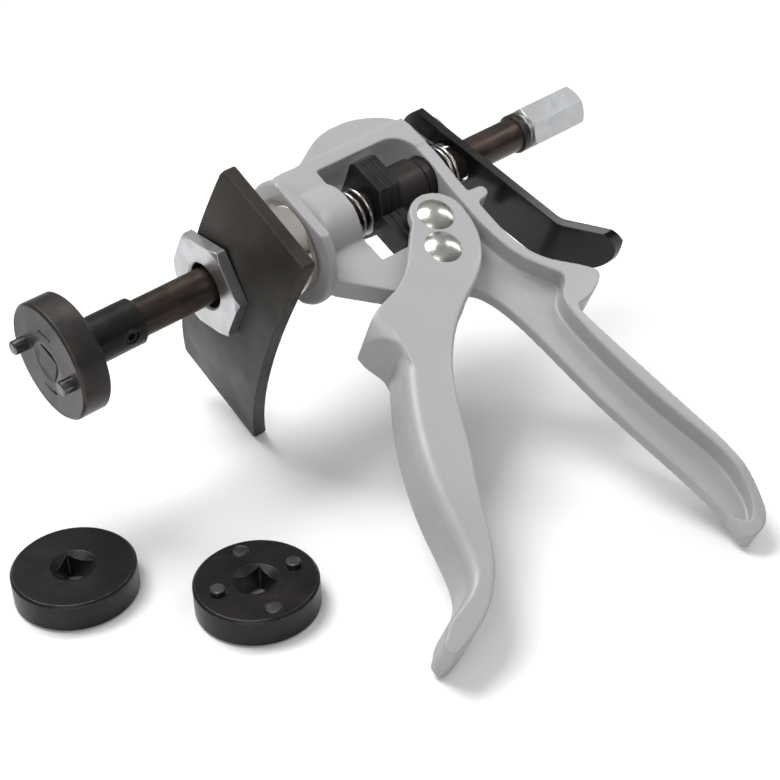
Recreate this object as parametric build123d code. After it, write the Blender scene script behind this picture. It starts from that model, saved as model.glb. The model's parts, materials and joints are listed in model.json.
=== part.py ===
from build123d import *
from math import cos, radians, sin
import os

# A pistol-grip disc-brake piston tool. Squeezing the trigger pushes three jamming plates forward,
# and they carry the drive rod with them. A reaction plate braces on the caliper while an adapter disc
# on the rod's square drive presses, or turns, the piston. Millimetres.
#
# Every piece is drawn in the tool's own frame: X runs back along the rod from the front face of the
# mounted adapter, Y points away from the handles, Z is the trigger's hinge direction. STANCE then lays
# the tool on its side as it rests on a bench: on the reaction plate's corner and the two handle tips.
# In the part's frame the bench is Z = 0, and the origin is under the middle of everything.

# ---------------------------------------------------------------- driving dimensions

lean = 25.7            # turn of the tool about its rod, as it lies
pitch = 3.4            # rise of the rod towards the rear, as it lies
slide_gap = 0.3        # gap between pieces that move past each other
running_gap = 0.06     # radial gap of a running fit
seat_gap = 0.04        # radial gap of a piece held in a hole

# Rod, drive collar and adapters
rod_r = 6.35
disc_r = 20.0
disc_t = 10.3
disc_chamfer = 0.8
square = 9.525         # 3/8 inch square drive
square_play = 0.12
drive_mouth_r = 7.5    # countersink round the square hole
drive_mouth_t = 1.7    # its depth on the spare adapters
drive_pin_r = 2.4
drive_pin_shank_r = 1.8  # the part pressed into the mounted disc
drive_pin_circle = 13.8
drive_pin_tall = 4.3
drive_pin_press = 6.0
drive_pin_turn = 22    # direction of the mounted disc's pins, degrees from +Y towards -Z
collar_r = 7.9
collar_front = disc_t + 0.3
collar_rear = 32.4
collar_bore_depth = 18.0
screw_x = 26.6
screw_turn = -25       # set screw direction, degrees from -Y towards +Z
detent_r = 1.5         # ball that holds an adapter on the square drive
detent_x = 5.2

# Rear end of the rod
ring_front = 201.0
ring_t = 3.2
ring_r = 7.35
hex_front = 205.6
hex_rear = 232.4
hex_flats = 14.7
neck_r = 5.2

# Reaction head: hollow hex screw, bowed plate and swivel sleeve
head_front = 59.8
head_t = 4.1
head_flats = 32.0
head_corner_turn = 5.0  # turn of the head's corners about the rod, degrees
head_bore_r = 8.1
shank_r = 11.0
plate_t = 5.0
plate_bow_r = 228.0
plate_turn = 2.6       # turn of the plate about the rod, degrees
plate_top = 13.0       # plate edges measured from the rod's axis
plate_bottom = -30.0
plate_near = 41.6
plate_far = -68.9
sleeve_r = 17.0
sleeve_rear = 94.5
tail_r = 10.0
tail_rear = 109.6
groove_x = 103.0
groove_w = 5.6
groove_r = 8.4

# Frame casting
flange_front = 94.8
flange_t = 4.0
flange_r = 22.5
flange_half = 18.3     # the flange is cut flat at this height on both faces
barrel_r = 13.6
window_front = 117.0
window_rear = 156.2
window_top = 15.4
window_bottom = -23.2
head_half = 10.0       # half thickness of the head
hump_half = 8.9
rim_half = 9.6         # half thickness of the rim down the rear handle
pad_half = 4.5         # half thickness of the body round the pivot
web_half = 2.3         # half thickness of the handle's web
hump_line = 20.6
spring_pocket_r = 9.3
spring_pocket_front = 110.0

# Trigger and its rivets
pivot = (133.8, -33.2)
pusher = (140.7, -21.0)
cheek_half = 12.0
cheek_inner = 8.0
grip_round = 5.0       # rounding of the grip's front edges
rivet_r = 3.1
rivet_head_r = 6.6
rivet_head_h = 2.5
pusher_sleeve_r = 2.5
pusher_pin_r = 1.9

# Jamming plates, bush and springs
plates_front = 128.3
jam_t = 3.2
jam_count = 3
jam_half = 13.5
jam_top = 11.6
jam_shoulder = -4.2
jam_tongue_half = 5.0
jam_tongue_top = -9.2
jam_bottom = -22.8
bush_front = plates_front + jam_t * jam_count + 0.1
bush_step = 152.5
bush_rear = 165.0
bush_r = 9.4
bush_seat_r = 8.2
drive_spring_r = 8.3   # mean coil radius
drive_wire_r = 0.75
drive_turns = 5.3
release_spring_r = 8.9
release_wire_r = 0.65
release_turns = 2.4

# Release lever
lever_t = 3.3
lever_half = 10.0
lever_slope = 10.0     # lean of the lever's straight part, degrees
lever_top = 24.0
lever_knee = -45.5
lever_front_x = 170.6  # front face where it crosses the rod's axis
tab_length = 22.5
tab_bend = 36.0
lever_hole_r = 7.4
lug_half = 4.6
lug_neck_half = 1.8

# Spare adapters on the bench, each with its middle at (x, y) in the part's frame before centring
spare_plain_at = (-13.6, -22.3)
spare_pinned_at = (25.1, -66.8)
spare_plain_turn = 31
spare_pin_circle = 13.0
spare_pin_tall = 2.2
spare_flush_circle = 15.0

# ---------------------------------------------------------------- helpers


def axis_cylinder(radius, x0, x1):
    """A round bar on the rod's axis from x0 to x1."""
    upright = Cylinder(radius, x1 - x0, align=(Align.CENTER, Align.CENTER, Align.MIN))
    return Pos(x0, 0, 0) * Rot(0, 90, 0) * upright


def axis_tube(outer, inner, x0, x1):
    return axis_cylinder(outer, x0, x1) - axis_cylinder(inner, x0 - 1, x1 + 1)


def axis_hex(flats, x0, x1, turn=0.0):
    """A hexagonal bar on the rod's axis, one corner towards +Z when turn is 0."""
    profile = RegularPolygon(flats / 2, 6, major_radius=False)
    bar = extrude(profile, amount=x1 - x0)
    return Pos(x0, 0, 0) * Rot(turn, 0, 0) * Rot(0, 90, 0) * bar


def slab(face, half):
    """A flat face in the XY plane thickened to both sides."""
    return extrude(face, amount=half, both=True)


def z_cylinder(radius, at, z0, z1):
    return Pos(at[0], at[1], z0) * Cylinder(radius, z1 - z0, align=(Align.CENTER, Align.CENTER, Align.MIN))


def box_between(low, high):
    size = [b - a for a, b in zip(low, high)]
    middle = [(a + b) / 2 for a, b in zip(low, high)]
    return Pos(*middle) * Box(*size)


def coil_spring(radius, wire_r, x0, x1, turns):
    """A helical spring about the rod's axis whose wire stays between x0 and x1."""
    height = x1 - x0 - 2 * wire_r
    path = Helix(pitch=height / turns, height=height, radius=radius)
    wire = sweep(Plane(path @ 0, z_dir=path % 0) * Circle(wire_r), path, is_frenet=True)
    return Pos(x0 + wire_r, 0, 0) * Rot(0, 90, 0) * wire


# ---------------------------------------------------------------- rod, drive and adapters


def adapter_blank(mouth_t):
    """A disc on the rod's axis with a square drive hole, countersunk to the given depth in front."""
    disc = chamfer(axis_cylinder(disc_r, 0, disc_t).edges().filter_by(GeomType.CIRCLE), disc_chamfer)
    hole = Pos(disc_t / 2, 0, 0) * Box(disc_t + 2, square + square_play, square + square_play)
    mouth = Pos(-0.01, 0, 0) * Rot(0, 90, 0) * Cone(drive_mouth_r, square / 2, mouth_t,
                                                  align=(Align.CENTER, Align.CENTER, Align.MIN))
    return disc - hole - mouth


def face_point(radius, turn):
    """A point on a circle about the rod's axis, by its turn in degrees from +Y towards -Z."""
    return radius * cos(radians(turn)), -radius * sin(radians(turn))


def turning_arrow(turn):
    """A shallow curved arrow cut in a disc's face, to show that it turns."""
    arc_r, arc_w, depth = 11.2, 1.0, 0.45
    sector = Polyline((0, 0), face_point(30, turn - 15), face_point(30, turn + 12), close=True)
    ring = Circle(arc_r + arc_w / 2) - Circle(arc_r - arc_w / 2)
    tip = turn + 23
    head = Polyline(face_point(arc_r, tip), face_point(arc_r + 1.4, tip - 12),
                    face_point(arc_r - 1.4, tip - 12), close=True)
    mark = extrude((ring & make_face(sector)) + make_face(head), amount=depth)
    return Rot(0, 90, 0) * Rot(0, 0, 90) * mark


def adapter_disc():
    disc = adapter_blank(0.5)
    for turn in (105, 285):
        disc -= turning_arrow(turn)
    for turn in (drive_pin_turn, drive_pin_turn + 180):
        y, z = face_point(drive_pin_circle, turn)
        disc -= Pos(0, y, z) * axis_cylinder(drive_pin_shank_r, -1, drive_pin_press)
        disc -= Pos(0, y, z) * axis_cylinder(drive_pin_r + seat_gap, -1, 0.3)
    return disc


def pins(places, shank_r, stand):
    """Pins pressed into a disc's face, one solid each; places holds (circle radius, turn)."""
    solids = []
    for circle_r, turn in places:
        y, z = face_point(circle_r, turn)
        head = axis_cylinder(drive_pin_r, -stand, 0)
        rim = head.edges().filter_by(GeomType.CIRCLE).sort_by(Axis.X)[0]
        head = chamfer(rim, min(0.4, stand / 2)) + axis_cylinder(shank_r, 0, drive_pin_press)
        solids.append(Pos(0, y, z) * head)
    return Compound(children=solids)


def drive_collar():
    """Black sleeve that carries the square drive on the front end of the rod."""
    body = chamfer(axis_cylinder(collar_r, collar_front, collar_rear).edges().filter_by(GeomType.CIRCLE), 0.5)
    tang = box_between((0.05, -square / 2, -square / 2), (collar_front + 1, square / 2, square / 2))
    body += chamfer(tang.faces().sort_by(Axis.X)[0].edges(), 0.3)
    body -= axis_cylinder(rod_r + seat_gap, collar_rear - collar_bore_depth, collar_rear + 1)
    body -= Pos(detent_x, 0, 0) * Rot(-90, 0, 0) * Cylinder(
        detent_r + seat_gap, square, align=(Align.CENTER, Align.CENTER, Align.MIN))
    hole = cross_bar(2.5 + seat_gap, 5.0, collar_r + 1)
    mouth = Pos(screw_x, 0, 0) * Rot(screw_turn, 0, 0) * Rot(90, 0, 0) * Pos(0, 0, collar_r - 0.5) * Cone(
        2.4, 3.4, 1.2, align=(Align.CENTER, Align.CENTER, Align.MIN))
    return body - hole - mouth


def cross_bar(radius, r0, r1):
    """A round bar across the collar, along the set screw, from r0 to r1 off the rod's axis."""
    bar = Pos(0, 0, r0) * Cylinder(radius, r1 - r0, align=(Align.CENTER, Align.CENTER, Align.MIN))
    return Pos(screw_x, 0, 0) * Rot(screw_turn, 0, 0) * Rot(90, 0, 0) * bar


def collar_set_screw():
    screw = cross_bar(2.5, 5.3, collar_r - 0.9)
    socket = Pos(0, 0, collar_r - 3.2) * extrude(RegularPolygon(1.25, 6, major_radius=False), amount=4)
    return screw - Pos(screw_x, 0, 0) * Rot(screw_turn, 0, 0) * Rot(90, 0, 0) * socket


def detent_ball():
    """Ball in the side of the square drive, standing just proud of it."""
    return Pos(detent_x, square / 2 + 0.04 - detent_r, 0) * Sphere(detent_r)


def drive_rod():
    """Plain rod with a necked tail that the hex end screws on."""
    rod = axis_cylinder(rod_r, collar_rear - collar_bore_depth, ring_front + ring_t)
    rod = chamfer(rod.edges().filter_by(GeomType.CIRCLE), 0.4)
    rod -= axis_tube(ring_r + 1, neck_r, ring_front, ring_front + ring_t + 1)
    rod += axis_cylinder(neck_r, ring_front, hex_front + 14)
    dimple = cross_bar(2.5 + seat_gap, 5.3, rod_r + 1)
    return rod - dimple


def rod_stop_ring():
    ring = axis_tube(ring_r, neck_r + seat_gap, ring_front, ring_front + ring_t)
    return chamfer(ring.edges().filter_by(GeomType.CIRCLE).sort_by(SortBy.RADIUS)[-2:], 0.4)


def hex_end():
    """Hexagon for a wrench, its ends chamfered round, and a thin collar where it meets the ring."""
    corner_r = hex_flats / 3 ** 0.5
    bar = axis_hex(hex_flats, hex_front, hex_rear, turn=28)
    ends = Plane.XY * Polyline(
        (hex_front, 0), (hex_front, corner_r - 1.3), (hex_front + 1.1, corner_r + 0.05),
        (hex_rear - 1.6, corner_r + 0.05), (hex_rear, corner_r - 2.2), (hex_rear, 0), close=True)
    bar &= revolve(make_face(ends), Axis.X)
    bar += axis_cylinder(neck_r + 1.2, ring_front + ring_t, hex_front)
    return bar - axis_cylinder(neck_r + seat_gap, ring_front, hex_front + 14)


# ---------------------------------------------------------------- reaction head


def head_screw():
    """Hollow hex-headed screw: its head clamps the plate against the sleeve."""
    rear = head_front + head_t
    corner_r = head_flats / 3 ** 0.5
    head = axis_hex(head_flats, head_front, rear, turn=head_corner_turn)
    cone = Polyline((head_front, 0), (head_front, corner_r - 1.6), (head_front + 0.9, corner_r + 0.05),
                    (rear, corner_r + 0.05), (rear, 0), close=True)
    head &= revolve(make_face(cone), Axis.X)
    head += axis_cylinder(shank_r, rear, rear + 16)
    bore = axis_cylinder(head_bore_r, head_front - 1, rear + 17)
    mouth = Pos(head_front - 0.01, 0, 0) * Rot(0, 90, 0) * Cone(
        head_bore_r + 0.7, head_bore_r, 0.7, align=(Align.CENTER, Align.CENTER, Align.MIN))
    return head - bore - mouth


def reaction_plate():
    """Steel strip bowed about an axis along Y, its middle forwards, clear over the screw's shank."""
    front = head_front + head_t

    def bow(z, offset):
        radius = plate_bow_r - offset
        return front + plate_bow_r - (radius ** 2 - z ** 2) ** 0.5

    edge_points = {}
    for name, offset in (("front", 0), ("rear", plate_t)):
        edge_points[name] = [(bow(z, offset), z) for z in (plate_far, 0, plate_near)]
    plane = Plane(origin=(0, plate_bottom, 0), x_dir=(1, 0, 0), z_dir=(0, -1, 0))
    (a, b, c), (d, e, f) = edge_points["front"], edge_points["rear"]
    outline = ThreePointArc(a, b, c) + Line(c, f) + ThreePointArc(f, e, d) + Line(d, a)
    plate = extrude(plane * make_face(outline), amount=plate_bottom - plate_top)
    plate = chamfer(plate.edges().filter_by(Axis.Y), 0.5)
    corners = plate.edges().filter_by(lambda edge: edge.length < plate_t + 1)
    plate = fillet(corners.filter_by(lambda edge: abs(edge.center().Z) > 30), 1.2) if corners else plate
    return Rot(plate_turn, 0, 0) * (plate - axis_cylinder(shank_r + 0.15, front - 5, front + 20))


def swivel_sleeve():
    """Bright sleeve that turns in the frame. Its tail carries the rod and is grooved for its screw."""
    bow_gap = plate_bow_r - plate_t - ((plate_bow_r - plate_t) ** 2 - sleeve_r ** 2) ** 0.5
    front = head_front + head_t + plate_t + bow_gap + 0.02
    body = axis_cylinder(sleeve_r, front, sleeve_rear)
    body = chamfer(body.edges().filter_by(GeomType.CIRCLE), 0.6)
    body += axis_cylinder(tail_r, sleeve_rear, tail_rear)
    body -= axis_cylinder(shank_r + seat_gap, front - 1, head_front + head_t + 16)
    body -= axis_cylinder(head_bore_r, front, sleeve_rear)
    body -= axis_cylinder(rod_r + running_gap, front, tail_rear + 1)
    body -= axis_tube(tail_r + 1, groove_r, groove_x - groove_w / 2, groove_x + groove_w / 2)
    return body


def sleeve_screw():
    """Set screw through the far side of the barrel, with its point in the sleeve's groove."""
    screw = z_cylinder(2.5, (groove_x, 0), -barrel_r + 0.3, -groove_r - slide_gap)
    socket = Pos(groove_x, 0, -barrel_r) * extrude(RegularPolygon(1.25, 6, major_radius=False), amount=2.4)
    return screw - socket


# ---------------------------------------------------------------- frame


def head_face():
    """The head's outline below the hump line, with square shoulders at the front and rear."""
    return make_face(Polyline((96.5, 12), (99.5, 19.6), (103, hump_line), (160.4, hump_line), (161.3, 16),
                              (161.3, 7.6), (150, 7.6), (117, -2), (98, -2), close=True))


def hump_face():
    """The arch over the window."""
    top = Spline((103, 20.4), (110, 20.1), (114.5, 21.6), (121, 25.2), (128, 28.4), (136, 29.6), (144, 29),
                 (151, 26.8), (157.2, 23.2), (161.3, 18.6))
    return make_face(top + Polyline((161.3, 18.6), (161.3, 16), (103, 16), (103, 20.4)))


def window_face():
    """The opening in the head: square in front, one large corner at the top rear."""
    corner = 9.5
    low = window_bottom - 2
    outline = Polyline((window_front, window_bottom), (window_front, window_top),
                       (window_rear - corner, window_top))
    outline += ThreePointArc((window_rear - corner, window_top),
                             (window_rear - corner * 0.293, window_top - corner * 0.293),
                             (window_rear, window_top - corner))
    outline += Polyline((window_rear, window_top - corner), (155.2, -12), (154.8, low), (136.5, low),
                        (134, window_bottom), (window_front, window_bottom))
    return make_face(outline)


def rim_face():
    """The rim: rear wall of the window, then the rear handle's palm side, spur and tip."""
    inner = Spline((window_rear, 7.8), (156.4, 0), (155.2, -14), (154.7, -26), (155.2, -38), (158, -49.4),
                   (162.6, -57.2), (165.6, -61.6))
    hook = Spline((165.6, -61.6), (165.4, -63.6), (161.6, -66.8), (158.4, -71.6), (157.3, -79), (157.6, -94),
                  (159.8, -118), (162.3, -132), (164, -143), (163.2, -154), (160.2, -162.8), (156.4, -167))
    foot = Polyline((156.4, -167), (152.6, -162), (151.8, -169.2))
    tip = Spline((151.8, -169.2), (153.4, -171.2), (157.2, -171.5), (161, -169.6), (164.4, -163.6),
                 (166.8, -154), (167.5, -144), (166, -128), (164, -109.4), (161.9, -90), (160.9, -77.4))
    spur = Spline((160.9, -77.4), (161.6, -75), (166, -74.4), (172, -72.6), (176.6, -70), (178.4, -67.4),
                  (177, -65), (173.3, -61.2), (167.7, -56.2), (163.2, -50.2), (160.8, -43.4), (160, -30),
                  (160.5, -12), (161.5, 0), (161.5, 7.8))
    return make_face(inner + hook + foot + tip + spur + Line((161.5, 7.8), (window_rear, 7.8)))


def web_face():
    """The thin web that fills the handle in front of its rim."""
    front = Spline((133, -46), (139.4, -49.6), (143.2, -58), (145.3, -72), (146.8, -102), (150.2, -132),
                   (152.4, -151), (152.8, -165))
    rear = Polyline((152.8, -165), (157.6, -168), (162, -163), (165, -142), (160.6, -100), (159, -74),
                    (164, -66), (166.4, -62), (157, -46), (156.2, -24.9), (133, -24.9), (133, -46))
    return make_face(front + rear)


def pad_face():
    """The thicker body below the window that holds the pivot."""
    return make_face(Polyline((97.6, -11), (97.9, -23.2), (111.8, -35.5), (124, -43.2), (133.2, -46.4),
                              (141, -45), (152.4, -33.4), (156, -29), (156, -22), (98, -6), close=True))


def flange_body():
    """Round flange, cut flat on both faces, running into the barrel in a hollow curve."""
    back = flange_front + flange_t
    outline = Polyline((flange_front, 0), (flange_front, flange_r - 0.8), (flange_front + 0.8, flange_r),
                       (back - 0.8, flange_r), (back, flange_r - 0.8), (back, 18.6))
    outline += Spline((back, 18.6), (back + 2.6, 15.4), (back + 8, barrel_r))
    outline += Polyline((back + 8, barrel_r), (window_front, barrel_r), (window_front, 0), (flange_front, 0))
    body = revolve(make_face(outline), Axis.X)
    return body & box_between((90, -30, -flange_half), (120, 30, flange_half))


def hook_lug():
    """Hook through the release lever's slot: the lever rocks on its neck in front of its nose."""
    neck = make_face(Polyline((159.5, 11), (159.5, 19.4), (162.5, 18.4), (173, 18.4), (173, 12.2),
                              (164, 12.6), close=True))
    nose = Spline((173.6, 20.2), (176.4, 18.6), (177.4, 15.4), (176.4, 12.6), (173.8, 11.6))
    nose += Polyline((173.8, 11.6), (172.5, 12), (171.6, 18.6), (172.6, 20.2), (173.6, 20.2))
    return slab(neck, lug_neck_half) + slab(make_face(nose), lug_half)


def lever_stop():
    nose = Spline((159.5, -16.6), (163.4, -17.2), (166.3, -18), (166.9, -19.9), (165.9, -21.6),
                  (163.2, -22.4), (159.5, -24.6))
    return slab(make_face(nose + Line((159.5, -24.6), (159.5, -16.6))), rim_half)


def handle_tip_cut(side):
    """Thins the handle's tip on one side, downwards and again towards its front."""
    along = Polyline((-152, side * 9.61), (-173, side * 5.2), (-173, side * 12), (-152, side * 12), close=True)
    ahead = Polyline((161, side * 7.5), (151, side * 2), (140, side * 2), (140, side * 12), (161, side * 12),
                     close=True)
    cut = Pos(140, 0, 0) * extrude(Plane.YZ * make_face(along), amount=40)
    return cut + Pos(0, -158, 0) * extrude(Plane.XZ * make_face(ahead), amount=20)


def frame():
    body = slab(head_face(), head_half) + slab(hump_face(), hump_half) + slab(rim_face(), rim_half)
    body += slab(pad_face(), pad_half) + slab(web_face(), web_half)
    body += z_cylinder(8.4, pivot, -cheek_inner + slide_gap, cheek_inner - slide_gap)
    body += flange_body()
    body += hook_lug() + lever_stop()
    body -= handle_tip_cut(1) + handle_tip_cut(-1)
    body -= slab(window_face(), 30)
    body -= axis_cylinder(tail_r + running_gap, 90, spring_pocket_front)
    body -= axis_cylinder(spring_pocket_r, spring_pocket_front - 1, window_front + 1)
    body -= axis_cylinder(bush_seat_r + seat_gap, window_rear - 8, 163)
    body -= z_cylinder(rivet_r + running_gap, pivot, -20, 20)
    body -= z_cylinder(2.5 + seat_gap, (groove_x, 0), -20, 0)
    return body


def rear_bush():
    """Two-diameter bush in the rear wall: the plates rest on its face and the rod slides in its bore."""
    bush = axis_cylinder(bush_r, bush_front, bush_step - 0.8)
    bush = chamfer(bush.edges().filter_by(GeomType.CIRCLE), 0.5)
    bush += axis_cylinder(bush_seat_r - 0.7, bush_step - 1, bush_step + 0.4)
    bush += axis_cylinder(bush_seat_r, bush_step + 0.4, 161.6)
    bush += axis_cylinder(bush_seat_r - 0.5, 161.6, bush_rear)
    return bush - axis_cylinder(rod_r + running_gap, bush_front - 1, bush_rear + 1)


# ---------------------------------------------------------------- trigger and plates


def trigger_face():
    """Side outline of the trigger without its spur: round head over the rivets, grip and curled tip."""
    head_left, head_top, head_right = (131.2, -19.6), (141.4, -11.7), (151.8, -22.4)
    tip_low, tip_end, tip_high = (42, -149), (39.4, -146.4), (41.6, -143.2)
    rear = Spline(head_right, (150.6, -32), (145.4, -41.2), (137, -48.6), (128.2, -53.4),
                  (114.5, -62.5), (102.5, -75.7), (89.2, -99.2), (79, -116.7), (68.9, -134.1),
                  (59.1, -142.8), (48, -147.6), tip_low)
    under_spur, over_spur = (95, -58), (99, -42)
    grip = Spline(tip_high, (46.4, -139.6), (52.4, -137.2), (57.8, -133.9), (61.4, -128), (66, -112.8),
                  (71.2, -97.2), (77.6, -83.8), (85.6, -70.6), under_spur)
    neck = Spline(over_spur, (106.6, -39.4), (114.5, -35.3), (120.5, -30.2), (126, -24.6), head_left)
    return make_face(ThreePointArc(head_left, head_top, head_right) + rear
                     + ThreePointArc(tip_low, tip_end, tip_high) + grip + Line(under_spur, over_spur) + neck)


def trigger_spur():
    """Spur that keeps the hand on the grip, its nose rounded as seen along the trigger."""
    top, low = (114.5, -35.3), (86, -70.2)
    outline = Spline(low, (92.2, -62.8), (94.8, -56.6), (93, -51.8), (90.4, -48.8))
    outline += ThreePointArc((90.4, -48.8), (89.6, -47.1), (90.9, -45.6))
    outline += Spline((90.9, -45.6), (99.4, -41.2), (106.6, -39.2), top)
    outline += Polyline(top, (112, -48), (100, -58), low)
    root, nose = 120, 89.6
    plan = FilletPolyline((root, -cheek_half), (nose, -cheek_half), (nose, cheek_half),
                          (root, cheek_half), radius=9)
    plan = Plane.XZ * make_face(plan + Line((root, cheek_half), (root, -cheek_half)))
    return slab(make_face(outline), cheek_half) & extrude(plan, amount=90)


def trigger_cavity():
    """The space between the cheeks, open at the head and down the back of the grip."""
    grip = Spline((101, -59.5), (91, -70.5), (82.4, -85.6), (76, -99), (71, -113), (66.2, -128),
                  (61.6, -136.4))
    return make_face(grip + Polyline((61.6, -136.4), (72, -150), (130, -80), (170, -40), (160, 0), (100, 0),
                                     (96, -39.2), (107, -43.2), (119, -50.5), (114, -54.5), (101, -59.5)))


def trigger():
    """Cast trigger: rounded along the grip's front, softened behind, hollow, narrower at its tip."""
    body = slab(trigger_face(), cheek_half)
    outline = body.edges().filter_by(lambda edge: abs(edge.center().Z) > cheek_half - 0.1)
    body = fillet(outline.filter_by(lambda edge: 90 < edge.length < 130 and edge.center().X < 90), grip_round)
    outline = body.edges().filter_by(lambda edge: abs(edge.center().Z) > cheek_half - 0.1)
    body = fillet(outline.filter_by(lambda edge: edge.length > 130), 1.5) + trigger_spur()
    narrow = [(200, 20), (70, 13), (38, 8), (38, -8), (70, -13), (200, -20)]
    plan = FilletPolyline(*narrow, radius=4)
    body &= extrude(Plane.XZ * make_face(plan + Line(narrow[-1], narrow[0])), amount=200)
    body -= slab(trigger_cavity(), cheek_inner)
    body -= z_cylinder(rivet_r + seat_gap, pivot, -20, 20)
    return body - z_cylinder(pusher_pin_r + seat_gap, pusher, -20, 20)


def rivet(at, radius):
    """A rivet across the cheeks with a domed head on each side."""
    dome_r = (rivet_head_r ** 2 + rivet_head_h ** 2) / (2 * rivet_head_h)
    body = z_cylinder(radius, at, -cheek_half, cheek_half)
    for side in (1, -1):
        ball = Pos(at[0], at[1], side * (cheek_half + rivet_head_h - dome_r)) * Sphere(dome_r)
        low, high = sorted((side * cheek_half, side * (cheek_half + rivet_head_h + 1)))
        body += ball & box_between((at[0] - 9, at[1] - 9, low), (at[0] + 9, at[1] + 9, high))
    return body


def pusher_sleeve():
    return z_cylinder(pusher_sleeve_r, pusher, -cheek_inner, cheek_inner) - z_cylinder(
        pusher_pin_r + seat_gap, pusher, -20, 20)


def jam_plate(index):
    """One jamming plate: wide round the rod, with a tongue between the trigger's cheeks."""
    half = Polyline((jam_top, 0), (jam_top, jam_half - 2.2), (jam_top - 2.2, jam_half),
                    (jam_shoulder, jam_half), (jam_tongue_top, jam_tongue_half),
                    (jam_bottom, jam_tongue_half), (jam_bottom, 0), close=True)
    x = plates_front + index * jam_t
    plane = Plane(origin=(x, 0, 0), x_dir=(0, 1, 0), z_dir=(1, 0, 0))
    outline = plane * make_face(half)
    plate = extrude(outline + mirror(outline, Plane.XY), amount=jam_t - 0.1)
    plate = chamfer(plate.edges().filter_by(lambda edge: edge.length > 8), 0.3)
    return plate - axis_cylinder(rod_r + running_gap, x - 1, x + jam_t + 1)


def drive_spring():
    return coil_spring(drive_spring_r, drive_wire_r, tail_rear + 0.1, plates_front - 0.1, drive_turns)


# ---------------------------------------------------------------- release lever


def lever_profile():
    """Side outline of the bent lever in the tool's XY plane."""
    slope = radians(lever_slope)
    bend = radians(lever_slope + tab_bend)

    def straight(y, depth=0.0):
        return lever_front_x - y * sin(slope) / cos(slope) + depth / cos(slope), y

    knee = straight(lever_knee)
    reach = tab_length + 3
    tip = knee[0] + reach * sin(bend), knee[1] - reach * cos(bend)
    path = FilletPolyline(straight(lever_top), knee, tip, radius=9)
    return make_face(path + Line(path @ 1, offset_end(tip, bend)) + rear_path(straight, bend, tip)
                     + Line(straight(lever_top, lever_t), straight(lever_top)))


def offset_end(tip, bend):
    return tip[0] + lever_t * cos(bend), tip[1] + lever_t * sin(bend)


def rear_path(straight, bend, tip):
    half_turn = radians(lever_slope) + (bend - radians(lever_slope)) / 2
    reach = lever_t / cos((bend - radians(lever_slope)) / 2)
    knee = straight(lever_knee)
    corner = knee[0] + reach * cos(half_turn), knee[1] + reach * sin(half_turn)
    return FilletPolyline(offset_end(tip, bend), corner, straight(lever_top, lever_t), radius=6.5)


def release_lever():
    """Bent flat lever with a round hole for the rod and a slot, open to it, that slips over the hook."""
    lever = slab(lever_profile(), lever_half)
    front = Plane(origin=(0, 0, 0), x_dir=(0, 1, 0), z_dir=(1, 0, 0))
    tab_end = lever_knee - tab_length * cos(radians(lever_slope + tab_bend))
    top_arc = ThreePointArc((20.6, -lever_half), (lever_top, 0), (20.6, lever_half))
    end_arc = ThreePointArc((tab_end + 4.2, lever_half), (tab_end - 1, 0), (tab_end + 4.2, -lever_half))
    plan = make_face(top_arc + Line((20.6, lever_half), (tab_end + 4.2, lever_half)) + end_arc
                     + Line((tab_end + 4.2, -lever_half), (20.6, -lever_half)))
    lever &= Pos(150, 0, 0) * extrude(front * plan, amount=70)
    slot = box_between((160, 5.0, -lug_neck_half - 0.6), (180, 19.0, lug_neck_half + 0.6))
    return lever - slot - axis_cylinder(lever_hole_r, 160, 185)


def release_spring():
    spring = coil_spring(release_spring_r, release_wire_r, 0, 5.9, release_turns)
    return Pos(161.8, 0, 0) * Rot(0, 0, -4.5) * spring


# ---------------------------------------------------------------- spare adapters


def on_bench(shape, at, turn):
    """Turns a disc from the rod's axis to lie face up on the bench at a place in the part's frame."""
    return Pos(at[0], at[1], disc_t) * Rot(0, 0, turn) * Rot(0, 90, 0) * shape


def spare_blank():
    """A spare disc, countersunk on both faces."""
    rear_mouth = Pos(disc_t + 0.01, 0, 0) * Rot(0, -90, 0) * Cone(
        drive_mouth_r, square / 2, drive_mouth_t, align=(Align.CENTER, Align.CENTER, Align.MIN))
    return adapter_blank(drive_mouth_t) - rear_mouth


def spare_pinned_disc():
    disc = spare_blank()
    for circle_r, turn in spare_tall_places + spare_flush_places:
        y, z = face_point(circle_r, turn)
        disc -= Pos(0, y, z) * axis_cylinder(drive_pin_r, -1, drive_pin_press)
        disc -= Pos(0, y, z) * axis_tube(drive_pin_r + 0.3, drive_pin_r, -1, 0.5)
    return disc


spare_tall_places = [(spare_pin_circle, 78), (spare_pin_circle, 258)]
spare_flush_places = [(spare_flush_circle, 163), (spare_flush_circle, 343)]
mounted_places = [(drive_pin_circle, drive_pin_turn), (drive_pin_circle, drive_pin_turn + 180)]

# ---------------------------------------------------------------- assembly

tool_pieces = {
    "frame": frame(),
    "rear_bush": rear_bush(),
    "sleeve_screw": sleeve_screw(),
    "trigger": trigger(),
    "pivot_rivet": rivet(pivot, rivet_r),
    "pusher_rivet": rivet(pusher, pusher_pin_r),
    "pusher_sleeve": pusher_sleeve(),
    "drive_spring": drive_spring(),
    "release_lever": release_lever(),
    "release_spring": release_spring(),
    "head_screw": head_screw(),
    "reaction_plate": reaction_plate(),
    "swivel_sleeve": swivel_sleeve(),
    "drive_rod": drive_rod(),
    "drive_collar": drive_collar(),
    "collar_set_screw": collar_set_screw(),
    "detent_ball": detent_ball(),
    "rod_stop_ring": rod_stop_ring(),
    "hex_end": hex_end(),
    "adapter_disc": adapter_disc(),
    "adapter_pins": pins(mounted_places, drive_pin_shank_r, drive_pin_tall),
}
for number in range(jam_count):
    tool_pieces[f"jam_plate_{number + 1}"] = jam_plate(number)

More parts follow.
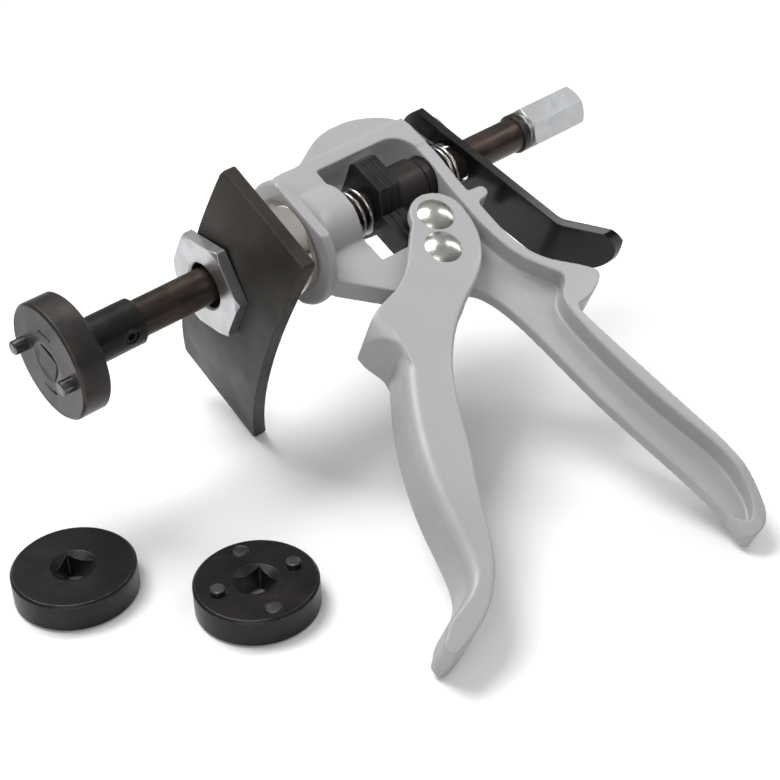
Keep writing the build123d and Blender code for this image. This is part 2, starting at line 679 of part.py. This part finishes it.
bench_pieces = {
    "spare_plain_disc": on_bench(spare_blank(), spare_plain_at, spare_plain_turn),
    "spare_pinned_disc": on_bench(spare_pinned_disc(), spare_pinned_at, 0),
    "spare_tall_pins": on_bench(pins(spare_tall_places, drive_pin_r, spare_pin_tall), spare_pinned_at, 0),
    "spare_flush_pins": on_bench(pins(spare_flush_places, drive_pin_r, 0.2), spare_pinned_at, 0),
}

turned = Rot(0, -pitch, 0) * Rot(lean, 0, 0)
laid = {name: turned * piece for name, piece in tool_pieces.items()}
tool_height = -min(piece.bounding_box().min.Z for piece in laid.values())
pieces = {name: Pos(0, 0, tool_height) * piece for name, piece in laid.items()}
pieces.update(bench_pieces)

boxes = [piece.bounding_box() for piece in pieces.values()]
middle_x = (min(box.min.X for box in boxes) + max(box.max.X for box in boxes)) / 2
middle_y = (min(box.min.Y for box in boxes) + max(box.max.Y for box in boxes)) / 2
CENTRING = Pos(-middle_x, -middle_y, 0)
STANCE = CENTRING * Pos(0, 0, tool_height) * turned

os.makedirs("parts", exist_ok=True)
for name, piece in pieces.items():
    export_step(CENTRING * piece, f"parts/{name}.step")
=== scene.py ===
import json

import bpy
from mathutils import Matrix, Vector


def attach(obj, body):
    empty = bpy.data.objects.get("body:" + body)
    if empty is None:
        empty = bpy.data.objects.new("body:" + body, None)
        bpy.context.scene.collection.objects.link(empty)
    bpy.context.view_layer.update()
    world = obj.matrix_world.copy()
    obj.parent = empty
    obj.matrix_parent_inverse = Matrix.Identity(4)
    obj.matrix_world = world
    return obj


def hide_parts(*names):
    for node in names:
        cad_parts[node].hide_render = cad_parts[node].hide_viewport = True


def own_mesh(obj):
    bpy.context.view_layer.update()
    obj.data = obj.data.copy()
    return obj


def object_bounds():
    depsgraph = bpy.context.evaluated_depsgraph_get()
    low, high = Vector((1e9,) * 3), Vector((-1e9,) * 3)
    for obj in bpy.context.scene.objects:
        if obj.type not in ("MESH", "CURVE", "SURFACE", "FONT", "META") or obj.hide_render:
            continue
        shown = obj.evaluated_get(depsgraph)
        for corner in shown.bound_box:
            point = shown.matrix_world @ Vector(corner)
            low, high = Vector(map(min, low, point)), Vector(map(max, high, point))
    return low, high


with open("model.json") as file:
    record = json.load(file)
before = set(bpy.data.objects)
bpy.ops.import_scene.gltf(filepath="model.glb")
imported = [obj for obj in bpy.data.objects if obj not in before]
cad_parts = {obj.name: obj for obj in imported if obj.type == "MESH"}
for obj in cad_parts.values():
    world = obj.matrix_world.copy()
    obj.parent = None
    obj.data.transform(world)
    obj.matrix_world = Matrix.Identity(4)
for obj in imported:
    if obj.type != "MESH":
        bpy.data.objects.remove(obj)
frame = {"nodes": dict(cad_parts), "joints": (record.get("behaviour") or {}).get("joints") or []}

cad_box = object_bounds()

# Lengths are in metres. A material's noise scale is in lumps per metre.

# ---------------------------------------------------------------- the tool's own frame
# X runs back along the rod from the mounted adapter's face, Y points away from the handles, and Z is
# the trigger's hinge direction.

JOINTS = {joint["name"]: joint for joint in frame["joints"]}
PIVOT = (0.1338, -0.0332)  # the trigger's hinge along X and Y
tool_x = -Vector(JOINTS["rod_feed"]["axis"]).normalized()
tool_z = Vector(JOINTS["trigger_squeeze"]["axis"]).normalized()
tool_y = tool_z.cross(tool_x).normalized()
tool_origin = Vector(JOINTS["trigger_squeeze"]["pos_m"]) - tool_x * PIVOT[0] - tool_y * PIVOT[1]
TOOL = Matrix.Translation(tool_origin) @ Matrix((tool_x, tool_y, tool_z)).transposed().to_4x4()

# ---------------------------------------------------------------- camera and lights

SENSOR = 36  # millimetres, as the lens
LENS = 75.63
CAMERA_PLACE = (-0.17809, -0.23109, 0.42716)  # this and the next two are in the tool's own frame
CAMERA_LOOK = (0.501713, 0.315023, -0.805633)
CAMERA_UP = (0.428781, 0.718298, 0.547900)
BACKDROP_STRENGTH = 0.46
SKY = (  # height of a direction as Z of its unit vector, and the light from there
    (0.06, (0.16, 0.155, 0.15)),
    (0.26, (0.60, 0.59, 0.58)),
    (0.70, (1.1, 1.1, 1.12)),
)


def direction(vector):
    """A direction of the tool's frame in the world."""
    return (TOOL.to_3x3() @ Vector(vector)).normalized()


camera_data = bpy.data.cameras.new("camera")
camera_data.sensor_width = SENSOR
camera_data.lens = LENS
camera = bpy.data.objects.new("camera", camera_data)
bpy.context.scene.collection.objects.link(camera)
look = direction(CAMERA_LOOK)
right = look.cross(direction(CAMERA_UP)).normalized()
camera_axes = Matrix((right, right.cross(look), -look)).transposed().to_4x4()
camera.matrix_world = Matrix.Translation(TOOL @ Vector(CAMERA_PLACE)) @ camera_axes
bpy.context.scene.camera = camera


def area_light(name, place, target, size, power):
    """A rectangular soft light of the given power in watts, aimed at a point."""
    data = bpy.data.lights.new(name, "AREA")
    data.shape = "RECTANGLE"
    data.size, data.size_y = size
    data.energy = power
    light = bpy.data.objects.new(name, data)
    light.location = place
    light.rotation_euler = (Vector(target) - Vector(place)).to_track_quat("-Z", "Y").to_euler()
    bpy.context.scene.collection.objects.link(light)


area_light("key_softbox", (-0.20, 0.35, 0.95), (0, 0, 0.03), (0.5, 0.5), 9.5)
area_light("front_fill", (-0.75, -0.60, 0.60), (0, 0, 0.04), (0.5, 0.5), 3)
area_light("side_strip", (0.75, -0.10, 0.55), (0, 0, 0.04), (0.2, 0.8), 2.6)

bpy.context.scene.view_settings.view_transform = "Standard"
world = bpy.data.worlds.new("studio")
bpy.context.scene.world = world
world.use_nodes = True
world_nodes = world.node_tree.nodes
world_links = world.node_tree.links
backdrop = world_nodes["Background"]
backdrop.inputs["Strength"].default_value = BACKDROP_STRENGTH
sky_coords = world_nodes.new("ShaderNodeTexCoord")
sky_parts = world_nodes.new("ShaderNodeSeparateXYZ")
sky_ramp = world_nodes.new("ShaderNodeValToRGB")
world_links.new(sky_coords.outputs["Generated"], sky_parts.inputs["Vector"])
world_links.new(sky_parts.outputs["Z"], sky_ramp.inputs["Fac"])
world_links.new(sky_ramp.outputs["Color"], backdrop.inputs["Color"])
sky_steps = sky_ramp.color_ramp.elements
sky_steps.new(SKY[1][0])
for step, (height, light) in zip(sky_steps, SKY):
    step.position = height
    step.color = (*light, 1)

# ---------------------------------------------------------------- material helpers


class Material:
    """A procedural material under construction, over the piece's own coordinates."""

    def __init__(self, name, colour, metallic, roughness, **sockets):
        self.material = bpy.data.materials.new(name)
        self.material.use_nodes = True
        self.tree = self.material.node_tree
        self.shader = self.tree.nodes["Principled BSDF"]
        self.shader.inputs["Metallic"].default_value = metallic
        self.shader.inputs["Roughness"].default_value = roughness
        self.shader.inputs["Base Color"].default_value = (*colour, 1)
        for keyword, value in sockets.items():
            socket = keyword.replace("_", " ").title().replace("Ior", "IOR")
            self.shader.inputs[socket].default_value = value
        self.colour = None
        self.base = (*colour, 1)
        self.bump_out = None
        self.coords = self.node("ShaderNodeTexCoord").outputs["Object"]

    def node(self, kind, **settings):
        """A new shader node with the given properties."""
        made = self.tree.nodes.new(kind)
        for name, value in settings.items():
            setattr(made, name, value)
        return made

    def link(self, out, into):
        self.tree.links.new(out, into)

    def mapped(self, scale, rotation=None):
        """The coordinates scaled along each axis, so that noise over them is stretched into streaks."""
        mapping = self.node("ShaderNodeMapping")
        mapping.inputs["Scale"].default_value = scale
        if rotation is not None:
            mapping.inputs["Rotation"].default_value = rotation
        self.link(self.coords, mapping.inputs["Vector"])
        return mapping.outputs["Vector"]

    def noise(self, scale, detail, roughness=0.55, distortion=0.0, vector=None):
        """Fractal noise from 0 to 1."""
        noise = self.node("ShaderNodeTexNoise")
        noise.inputs["Scale"].default_value = scale
        noise.inputs["Detail"].default_value = detail
        noise.inputs["Roughness"].default_value = roughness
        noise.inputs["Distortion"].default_value = distortion
        self.link(self.coords if vector is None else vector, noise.inputs["Vector"])
        return noise.outputs["Fac"]

    def ramp(self, fac, low, high, out_low=0.0, out_high=1.0):
        """fac between low and high, spread over out_low to out_high and held at those ends."""
        spread = self.node("ShaderNodeMapRange", clamp=True)
        limits = {"From Min": low, "From Max": high, "To Min": out_low, "To Max": out_high}
        for socket, value in limits.items():
            spread.inputs[socket].default_value = value
        self.link(fac, spread.inputs["Value"])
        return spread.outputs["Result"]

    def math(self, operation, a, b=None):
        """One step of arithmetic on numbers and node outputs."""
        made = self.node("ShaderNodeMath", operation=operation)
        for socket, value in zip(made.inputs, (a, b)):
            if value is None:
                continue
            if isinstance(value, (int, float)):
                socket.default_value = value
            else:
                self.link(value, socket)
        return made.outputs[0]

    def tint(self, colour, fac):
        """Mixes another colour in where fac is high."""
        mix = self.node("ShaderNodeMix", data_type="RGBA")
        if self.colour is None:
            mix.inputs["A"].default_value = self.base
        else:
            self.link(self.colour, mix.inputs["A"])
        mix.inputs["B"].default_value = (*colour, 1)
        self.link(fac, mix.inputs["Factor"])
        self.colour = mix.outputs["Result"]
        return self

    def bump(self, height, strength, distance):
        """Relief of the given height in metres, over any bump or softening made before it."""
        bump = self.node("ShaderNodeBump")
        bump.inputs["Strength"].default_value = strength
        bump.inputs["Distance"].default_value = distance
        self.link(height, bump.inputs["Height"])
        if self.bump_out is not None:
            self.link(self.bump_out, bump.inputs["Normal"])
        self.bump_out = bump.outputs["Normal"]
        return self

    def soften(self, radius):
        """Rounds sharp edges by a small radius in shading."""
        bevel = self.node("ShaderNodeBevel", samples=6)
        bevel.inputs["Radius"].default_value = radius
        self.bump_out = bevel.outputs["Normal"]
        return self

    def edges(self, radius=0.0006):
        """1 along edges and 0 on flat faces, from how far a rounded normal turns from the real one."""
        least, most = 0.02, 0.25
        bevel = self.node("ShaderNodeBevel", samples=6)
        bevel.inputs["Radius"].default_value = radius
        geometry = self.node("ShaderNodeNewGeometry")
        dot = self.node("ShaderNodeVectorMath", operation="DOT_PRODUCT")
        self.link(bevel.outputs["Normal"], dot.inputs[0])
        self.link(geometry.outputs["Normal"], dot.inputs[1])
        return self.ramp(dot.outputs["Value"], 1 - most, 1 - least, 1.0, 0.0)

    def rough(self, fac):
        """Roughness that varies over the surface."""
        self.link(fac, self.shader.inputs["Roughness"])
        return self

    def along_rod(self):
        """How far back along the rod a point is."""
        mapping = self.node("ShaderNodeMapping", vector_type="POINT")
        inverse = TOOL.inverted()
        mapping.inputs["Location"].default_value = inverse.to_translation()
        mapping.inputs["Rotation"].default_value = inverse.to_euler()
        self.link(self.coords, mapping.inputs["Vector"])
        parts = self.node("ShaderNodeSeparateXYZ")
        self.link(mapping.outputs["Vector"], parts.inputs["Vector"])
        return parts.outputs["X"]

    def turned_lines(self, pitch, strength):
        """Fine wobbling lines round the rod's axis, pitch apart."""
        full_turn, height = 6.2832, 0.00002
        wobble = self.math("MULTIPLY", self.noise(180, 2), 4.0)
        turns = self.math("MULTIPLY", self.along_rod(), 1 / pitch)
        wave = self.math("SINE", self.math("ADD", self.math("MULTIPLY", turns, full_turn), wobble))
        return self.bump(wave, strength, height)

    def done(self):
        """Joins the colour and relief to the shader."""
        if self.colour is not None:
            self.link(self.colour, self.shader.inputs["Base Color"])
        if self.bump_out is not None:
            self.link(self.bump_out, self.shader.inputs["Normal"])
        return self.material


# ---------------------------------------------------------------- materials


def grey_enamel():
    """Satin grey enamel over a sand-cast surface: soft lumps, pinholes and thin scuffs."""
    m = Material("grey_enamel", (0.325, 0.319, 0.330), 0.0, 0.44, coat_weight=0.06, coat_roughness=0.3)
    m.tint((0.285, 0.280, 0.288), m.ramp(m.noise(24, 4), 0.42, 0.72, 0, 0.8))
    m.tint((0.38, 0.375, 0.375), m.ramp(m.noise(70, 5), 0.58, 0.8, 0, 0.4))
    m.tint((0.15, 0.15, 0.15), m.ramp(m.noise(520, 3, 0.7), 0.68, 0.78, 0, 0.5))
    scuffs = m.noise(60, 6, 0.8, 0.3, m.mapped((1, 6, 6)))
    m.tint((0.19, 0.18, 0.175), m.ramp(scuffs, 0.66, 0.76, 0, 0.5))
    m.rough(m.ramp(m.noise(45, 4), 0.3, 0.7, 0.34, 0.5))
    m.bump(m.noise(110, 3), 0.4, 0.0006)
    m.bump(m.noise(1500, 2), 0.15, 0.00008)
    return m.done()


def oxide_rod():
    """Ground bar with a brown-black oxide, its turning lines just seen."""
    m = Material("oxide_rod", (0.040, 0.030, 0.025), 0.75, 0.38)
    m.tint((0.085, 0.055, 0.042), m.ramp(m.noise(60, 5, 0.65), 0.42, 0.7, 0, 0.8))
    streaks = m.noise(90, 4, 0.6, 0.0, m.mapped((1, 9, 9)))
    m.tint((0.022, 0.020, 0.020), m.ramp(streaks, 0.5, 0.72, 0, 0.8))
    m.tint((0.20, 0.17, 0.15), m.edges())
    m.rough(m.ramp(m.noise(120, 4), 0.3, 0.7, 0.27, 0.45))
    m.turned_lines(0.00035, 0.25)
    return m.done()


def black_turned(name, colour, roughness):
    """Black oxide on turned steel, a little worn at its edges."""
    m = Material(name, colour, 0.5, 0.35, specular_ior_level=0.35)
    m.tint((0.024, 0.022, 0.021), m.ramp(m.noise(75, 5, 0.6), 0.45, 0.75, 0, 0.9))
    m.tint((0.17, 0.16, 0.155), m.math("MULTIPLY", m.edges(0.0005), m.ramp(m.noise(400, 4), 0.35, 0.65)))
    m.rough(m.ramp(m.noise(150, 4), 0.3, 0.7, *roughness))
    m.turned_lines(0.00045, 0.3)
    m.bump(m.noise(900, 3), 0.12, 0.00006)
    return m.done()


def adapter_black(name, shade):
    """Black oxide disc of the given shade: mottled, scuffed, with bright nicks along its edges."""
    m = Material(name, (shade, shade * 0.92, shade * 0.88), 0.5, 0.4, specular_ior_level=0.35)
    m.soften(0.0004)
    m.tint((shade * 2.2, shade * 1.9, shade * 1.7), m.ramp(m.noise(55, 5, 0.65), 0.42, 0.72, 0, 0.9))
    scuffs = m.noise(260, 6, 0.75, 0.4)
    m.tint((0.085, 0.078, 0.072), m.ramp(scuffs, 0.62, 0.76, 0, 0.6))
    m.tint((0.22, 0.21, 0.20), m.math("MULTIPLY", m.edges(0.0007), m.ramp(m.noise(300, 4), 0.38, 0.62)))
    m.rough(m.ramp(m.noise(90, 5), 0.3, 0.7, 0.30, 0.46))
    m.bump(m.noise(520, 4), 0.22, 0.0001)
    m.bump(m.noise(1100, 3), 0.18, 0.00007)
    return m.done()


def zinc():
    """Zinc plate, clouded grey with a little yellow passivation."""
    m = Material("zinc", (0.51, 0.52, 0.53), 1.0, 0.36)
    m.soften(0.0003)
    m.tint((0.38, 0.39, 0.40), m.ramp(m.noise(110, 5, 0.65), 0.4, 0.7, 0, 0.7))
    m.tint((0.46, 0.43, 0.36), m.ramp(m.noise(70, 4, 0.6), 0.52, 0.75, 0, 0.5))
    m.rough(m.ramp(m.noise(220, 3), 0.3, 0.7, 0.28, 0.40))
    m.bump(m.noise(420, 2), 0.02, 0.00003)
    return m.done()


def chrome():
    """Polished plate with a warm cast and faint turned lines."""
    m = Material("chrome_sleeve", (0.66, 0.62, 0.57), 1.0, 0.09)
    m.tint((0.56, 0.49, 0.41), m.ramp(m.noise(18, 3), 0.45, 0.7, 0, 0.5))
    m.rough(m.ramp(m.noise(140, 4), 0.35, 0.7, 0.07, 0.16))
    m.turned_lines(0.0006, 0.06)
    return m.done()


def dark_plate():
    """Heat-darkened plate, brown-grey, rubbed bright along its edges and scratched on its face."""
    m = Material("dark_plate", (0.017, 0.014, 0.011), 0.35, 0.45, specular_ior_level=0.4)
    m.soften(0.0004)
    m.tint((0.036, 0.029, 0.022), m.ramp(m.noise(22, 5, 0.6), 0.4, 0.7, 0, 0.9))
    m.tint((0.010, 0.009, 0.008), m.ramp(m.noise(60, 5, 0.7, 0.3), 0.5, 0.75, 0, 0.8))
    scratches = m.noise(50, 6, 0.8, 0.0, m.mapped((1, 14, 2), (0.3, 0.5, 0.2)))
    m.tint((0.08, 0.07, 0.06), m.ramp(scratches, 0.64, 0.74, 0, 0.5))
    m.tint((0.12, 0.105, 0.09), m.math("MULTIPLY", m.edges(0.0006), m.ramp(m.noise(250, 4), 0.4, 0.65)))
    m.rough(m.ramp(m.noise(40, 5), 0.3, 0.7, 0.38, 0.6))
    m.bump(m.noise(480, 4), 0.2, 0.0001)
    return m.done()


def gloss_black():
    """Thick glossy black paint, thin along its edges."""
    m = Material("gloss_black", (0.004, 0.004, 0.004), 0.0, 0.22, specular_ior_level=0.3, coat_weight=0.12,
                 coat_roughness=0.08)
    m.soften(0.0006)
    m.tint((0.010, 0.010, 0.010), m.ramp(m.noise(60, 4), 0.45, 0.75, 0, 0.9))
    m.tint((0.07, 0.07, 0.07), m.math("MULTIPLY", m.edges(0.0006), m.ramp(m.noise(300, 4), 0.5, 0.64)))
    m.rough(m.ramp(m.noise(80, 4), 0.3, 0.7, 0.14, 0.26))
    m.bump(m.noise(240, 3), 0.12, 0.0002)
    return m.done()


def satin_black(name):
    """Oiled black finish on pressed or small steel pieces."""
    m = Material(name, (0.008, 0.008, 0.008), 0.3, 0.36, specular_ior_level=0.35)
    m.soften(0.0003)
    m.tint((0.018, 0.0175, 0.017), m.ramp(m.noise(110, 5, 0.6), 0.42, 0.72, 0, 0.9))
    m.tint((0.15, 0.145, 0.14), m.math("MULTIPLY", m.edges(0.0004), m.ramp(m.noise(420, 4), 0.4, 0.6)))
    m.rough(m.ramp(m.noise(160, 4), 0.3, 0.7, 0.28, 0.45))
    m.bump(m.noise(800, 3), 0.15, 0.00007)
    return m.done()


def bright_steel(name, colour, roughness):
    """Bare steel with fine dull specks."""
    m = Material(name, colour, 1.0, 0.25)
    m.tint(tuple(c * 0.6 for c in colour), m.ramp(m.noise(160, 5, 0.65), 0.42, 0.72, 0, 0.8))
    m.tint((0.16, 0.16, 0.16), m.ramp(m.noise(900, 4, 0.6), 0.70, 0.80, 0, 0.35))
    m.rough(m.ramp(m.noise(300, 4), 0.3, 0.7, *roughness))
    m.bump(m.noise(950, 3), 0.05, 0.00002)
    return m.done()


MATERIALS = {
    "grey_enamel": grey_enamel(),
    "oxide_rod": oxide_rod(),
    "collar_black": black_turned("collar_black", (0.010, 0.0098, 0.0095), (0.28, 0.42)),
    "bush_black": black_turned("bush_black", (0.030, 0.026, 0.024), (0.30, 0.45)),
    "adapter_worn": adapter_black("adapter_worn", 0.028),
    "adapter_black": adapter_black("adapter_black", 0.010),
    "zinc": zinc(),
    "chrome": chrome(),
    "dark_plate": dark_plate(),
    "gloss_black": gloss_black(),
    "jam_black": satin_black("jam_black"),
    "screw_black": satin_black("screw_black"),
    "rivet": bright_steel("rivet", (0.50, 0.50, 0.46), (0.22, 0.34)),
    "spring": bright_steel("spring", (0.42, 0.41, 0.39), (0.2, 0.32)),
    "pin": bright_steel("pin", (0.16, 0.155, 0.15), (0.25, 0.4)),
    "ball": bright_steel("ball", (0.45, 0.45, 0.44), (0.25, 0.4)),
}

NODE_MATERIAL = {
    "frame": "grey_enamel",
    "trigger": "grey_enamel",
    "rear_bush": "bush_black",
    "sleeve_screw": "screw_black",
    "pivot_rivet": "rivet",
    "pusher_rivet": "rivet",
    "pusher_sleeve": "rivet",
    "drive_spring": "spring",
    "release_spring": "spring",
    "release_lever": "gloss_black",
    "head_screw": "zinc",
    "hex_end": "zinc",
    "reaction_plate": "dark_plate",
    "swivel_sleeve": "chrome",
    "drive_rod": "oxide_rod",
    "drive_collar": "collar_black",
    "collar_set_screw": "screw_black",
    "detent_ball": "ball",
    "rod_stop_ring": "bush_black",
    "adapter_disc": "adapter_worn",
    "adapter_pins": "pin",
    "spare_plain_disc": "adapter_black",
    "spare_pinned_disc": "adapter_black",
    "spare_tall_pins": "pin",
    "spare_flush_pins": "pin",
    "jam_plate_1": "jam_black",
    "jam_plate_2": "jam_black",
    "jam_plate_3": "jam_black",
}

for name, key in NODE_MATERIAL.items():
    mesh = frame["nodes"][name].data
    mesh.materials.clear()
    mesh.materials.append(MATERIALS[key])

# ---------------------------------------------------------------- castings

CAST_GRAIN = 0.0004  # size of the cubes that a casting's surface is rebuilt from
CAST_PASSES = 14     # smoothing passes, which set how round its edges become


def cast_surface(node):
    """Rounds a casting's edges and softens its inner corners."""
    remesh = node.modifiers.new("round", "REMESH")
    remesh.mode = "VOXEL"
    remesh.voxel_size = CAST_GRAIN
    remesh.use_smooth_shade = True
    smooth = node.modifiers.new("soften", "SMOOTH")
    smooth.factor = 0.5
    smooth.iterations = CAST_PASSES


for name in ("frame", "trigger"):
    cast_surface(frame["nodes"][name])

# ---------------------------------------------------------------- springs copied onto the frame


def shortening_spring(name):
    """Stands for a CAD spring with a copy of its mesh, fixed to the frame, and hides the CAD spring."""
    node = frame["nodes"][name]
    spring = bpy.data.objects.new(name + "_coil", node.data.copy())
    bpy.context.scene.collection.objects.link(spring)
    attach(spring, "frame")
    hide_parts(name)
    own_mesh(spring)


shortening_spring("drive_spring")
shortening_spring("release_spring")

# ---------------------------------------------------------------- floor

FLOOR_REACH = 4.0
FLOOR_GAP = 0.0002  # keeps the floor clear of the lowest points

floor_mesh = bpy.data.meshes.new("floor")
floor_corners = [(x * FLOOR_REACH, y * FLOOR_REACH, 0) for x, y in ((-1, -1), (1, -1), (1, 1), (-1, 1))]
floor_mesh.from_pydata(floor_corners, [], [(0, 1, 2, 3)])
floor = bpy.data.objects.new("floor", floor_mesh)
bpy.context.scene.collection.objects.link(floor)
floor.location.z = cad_box[0][2] - FLOOR_GAP
paper = Material("paper", (0.86, 0.86, 0.86), 0.0, 0.85)
paper.tint((0.84, 0.84, 0.845), paper.ramp(paper.noise(3, 2), 0.4, 0.6))
floor_mesh.materials.append(paper.done())
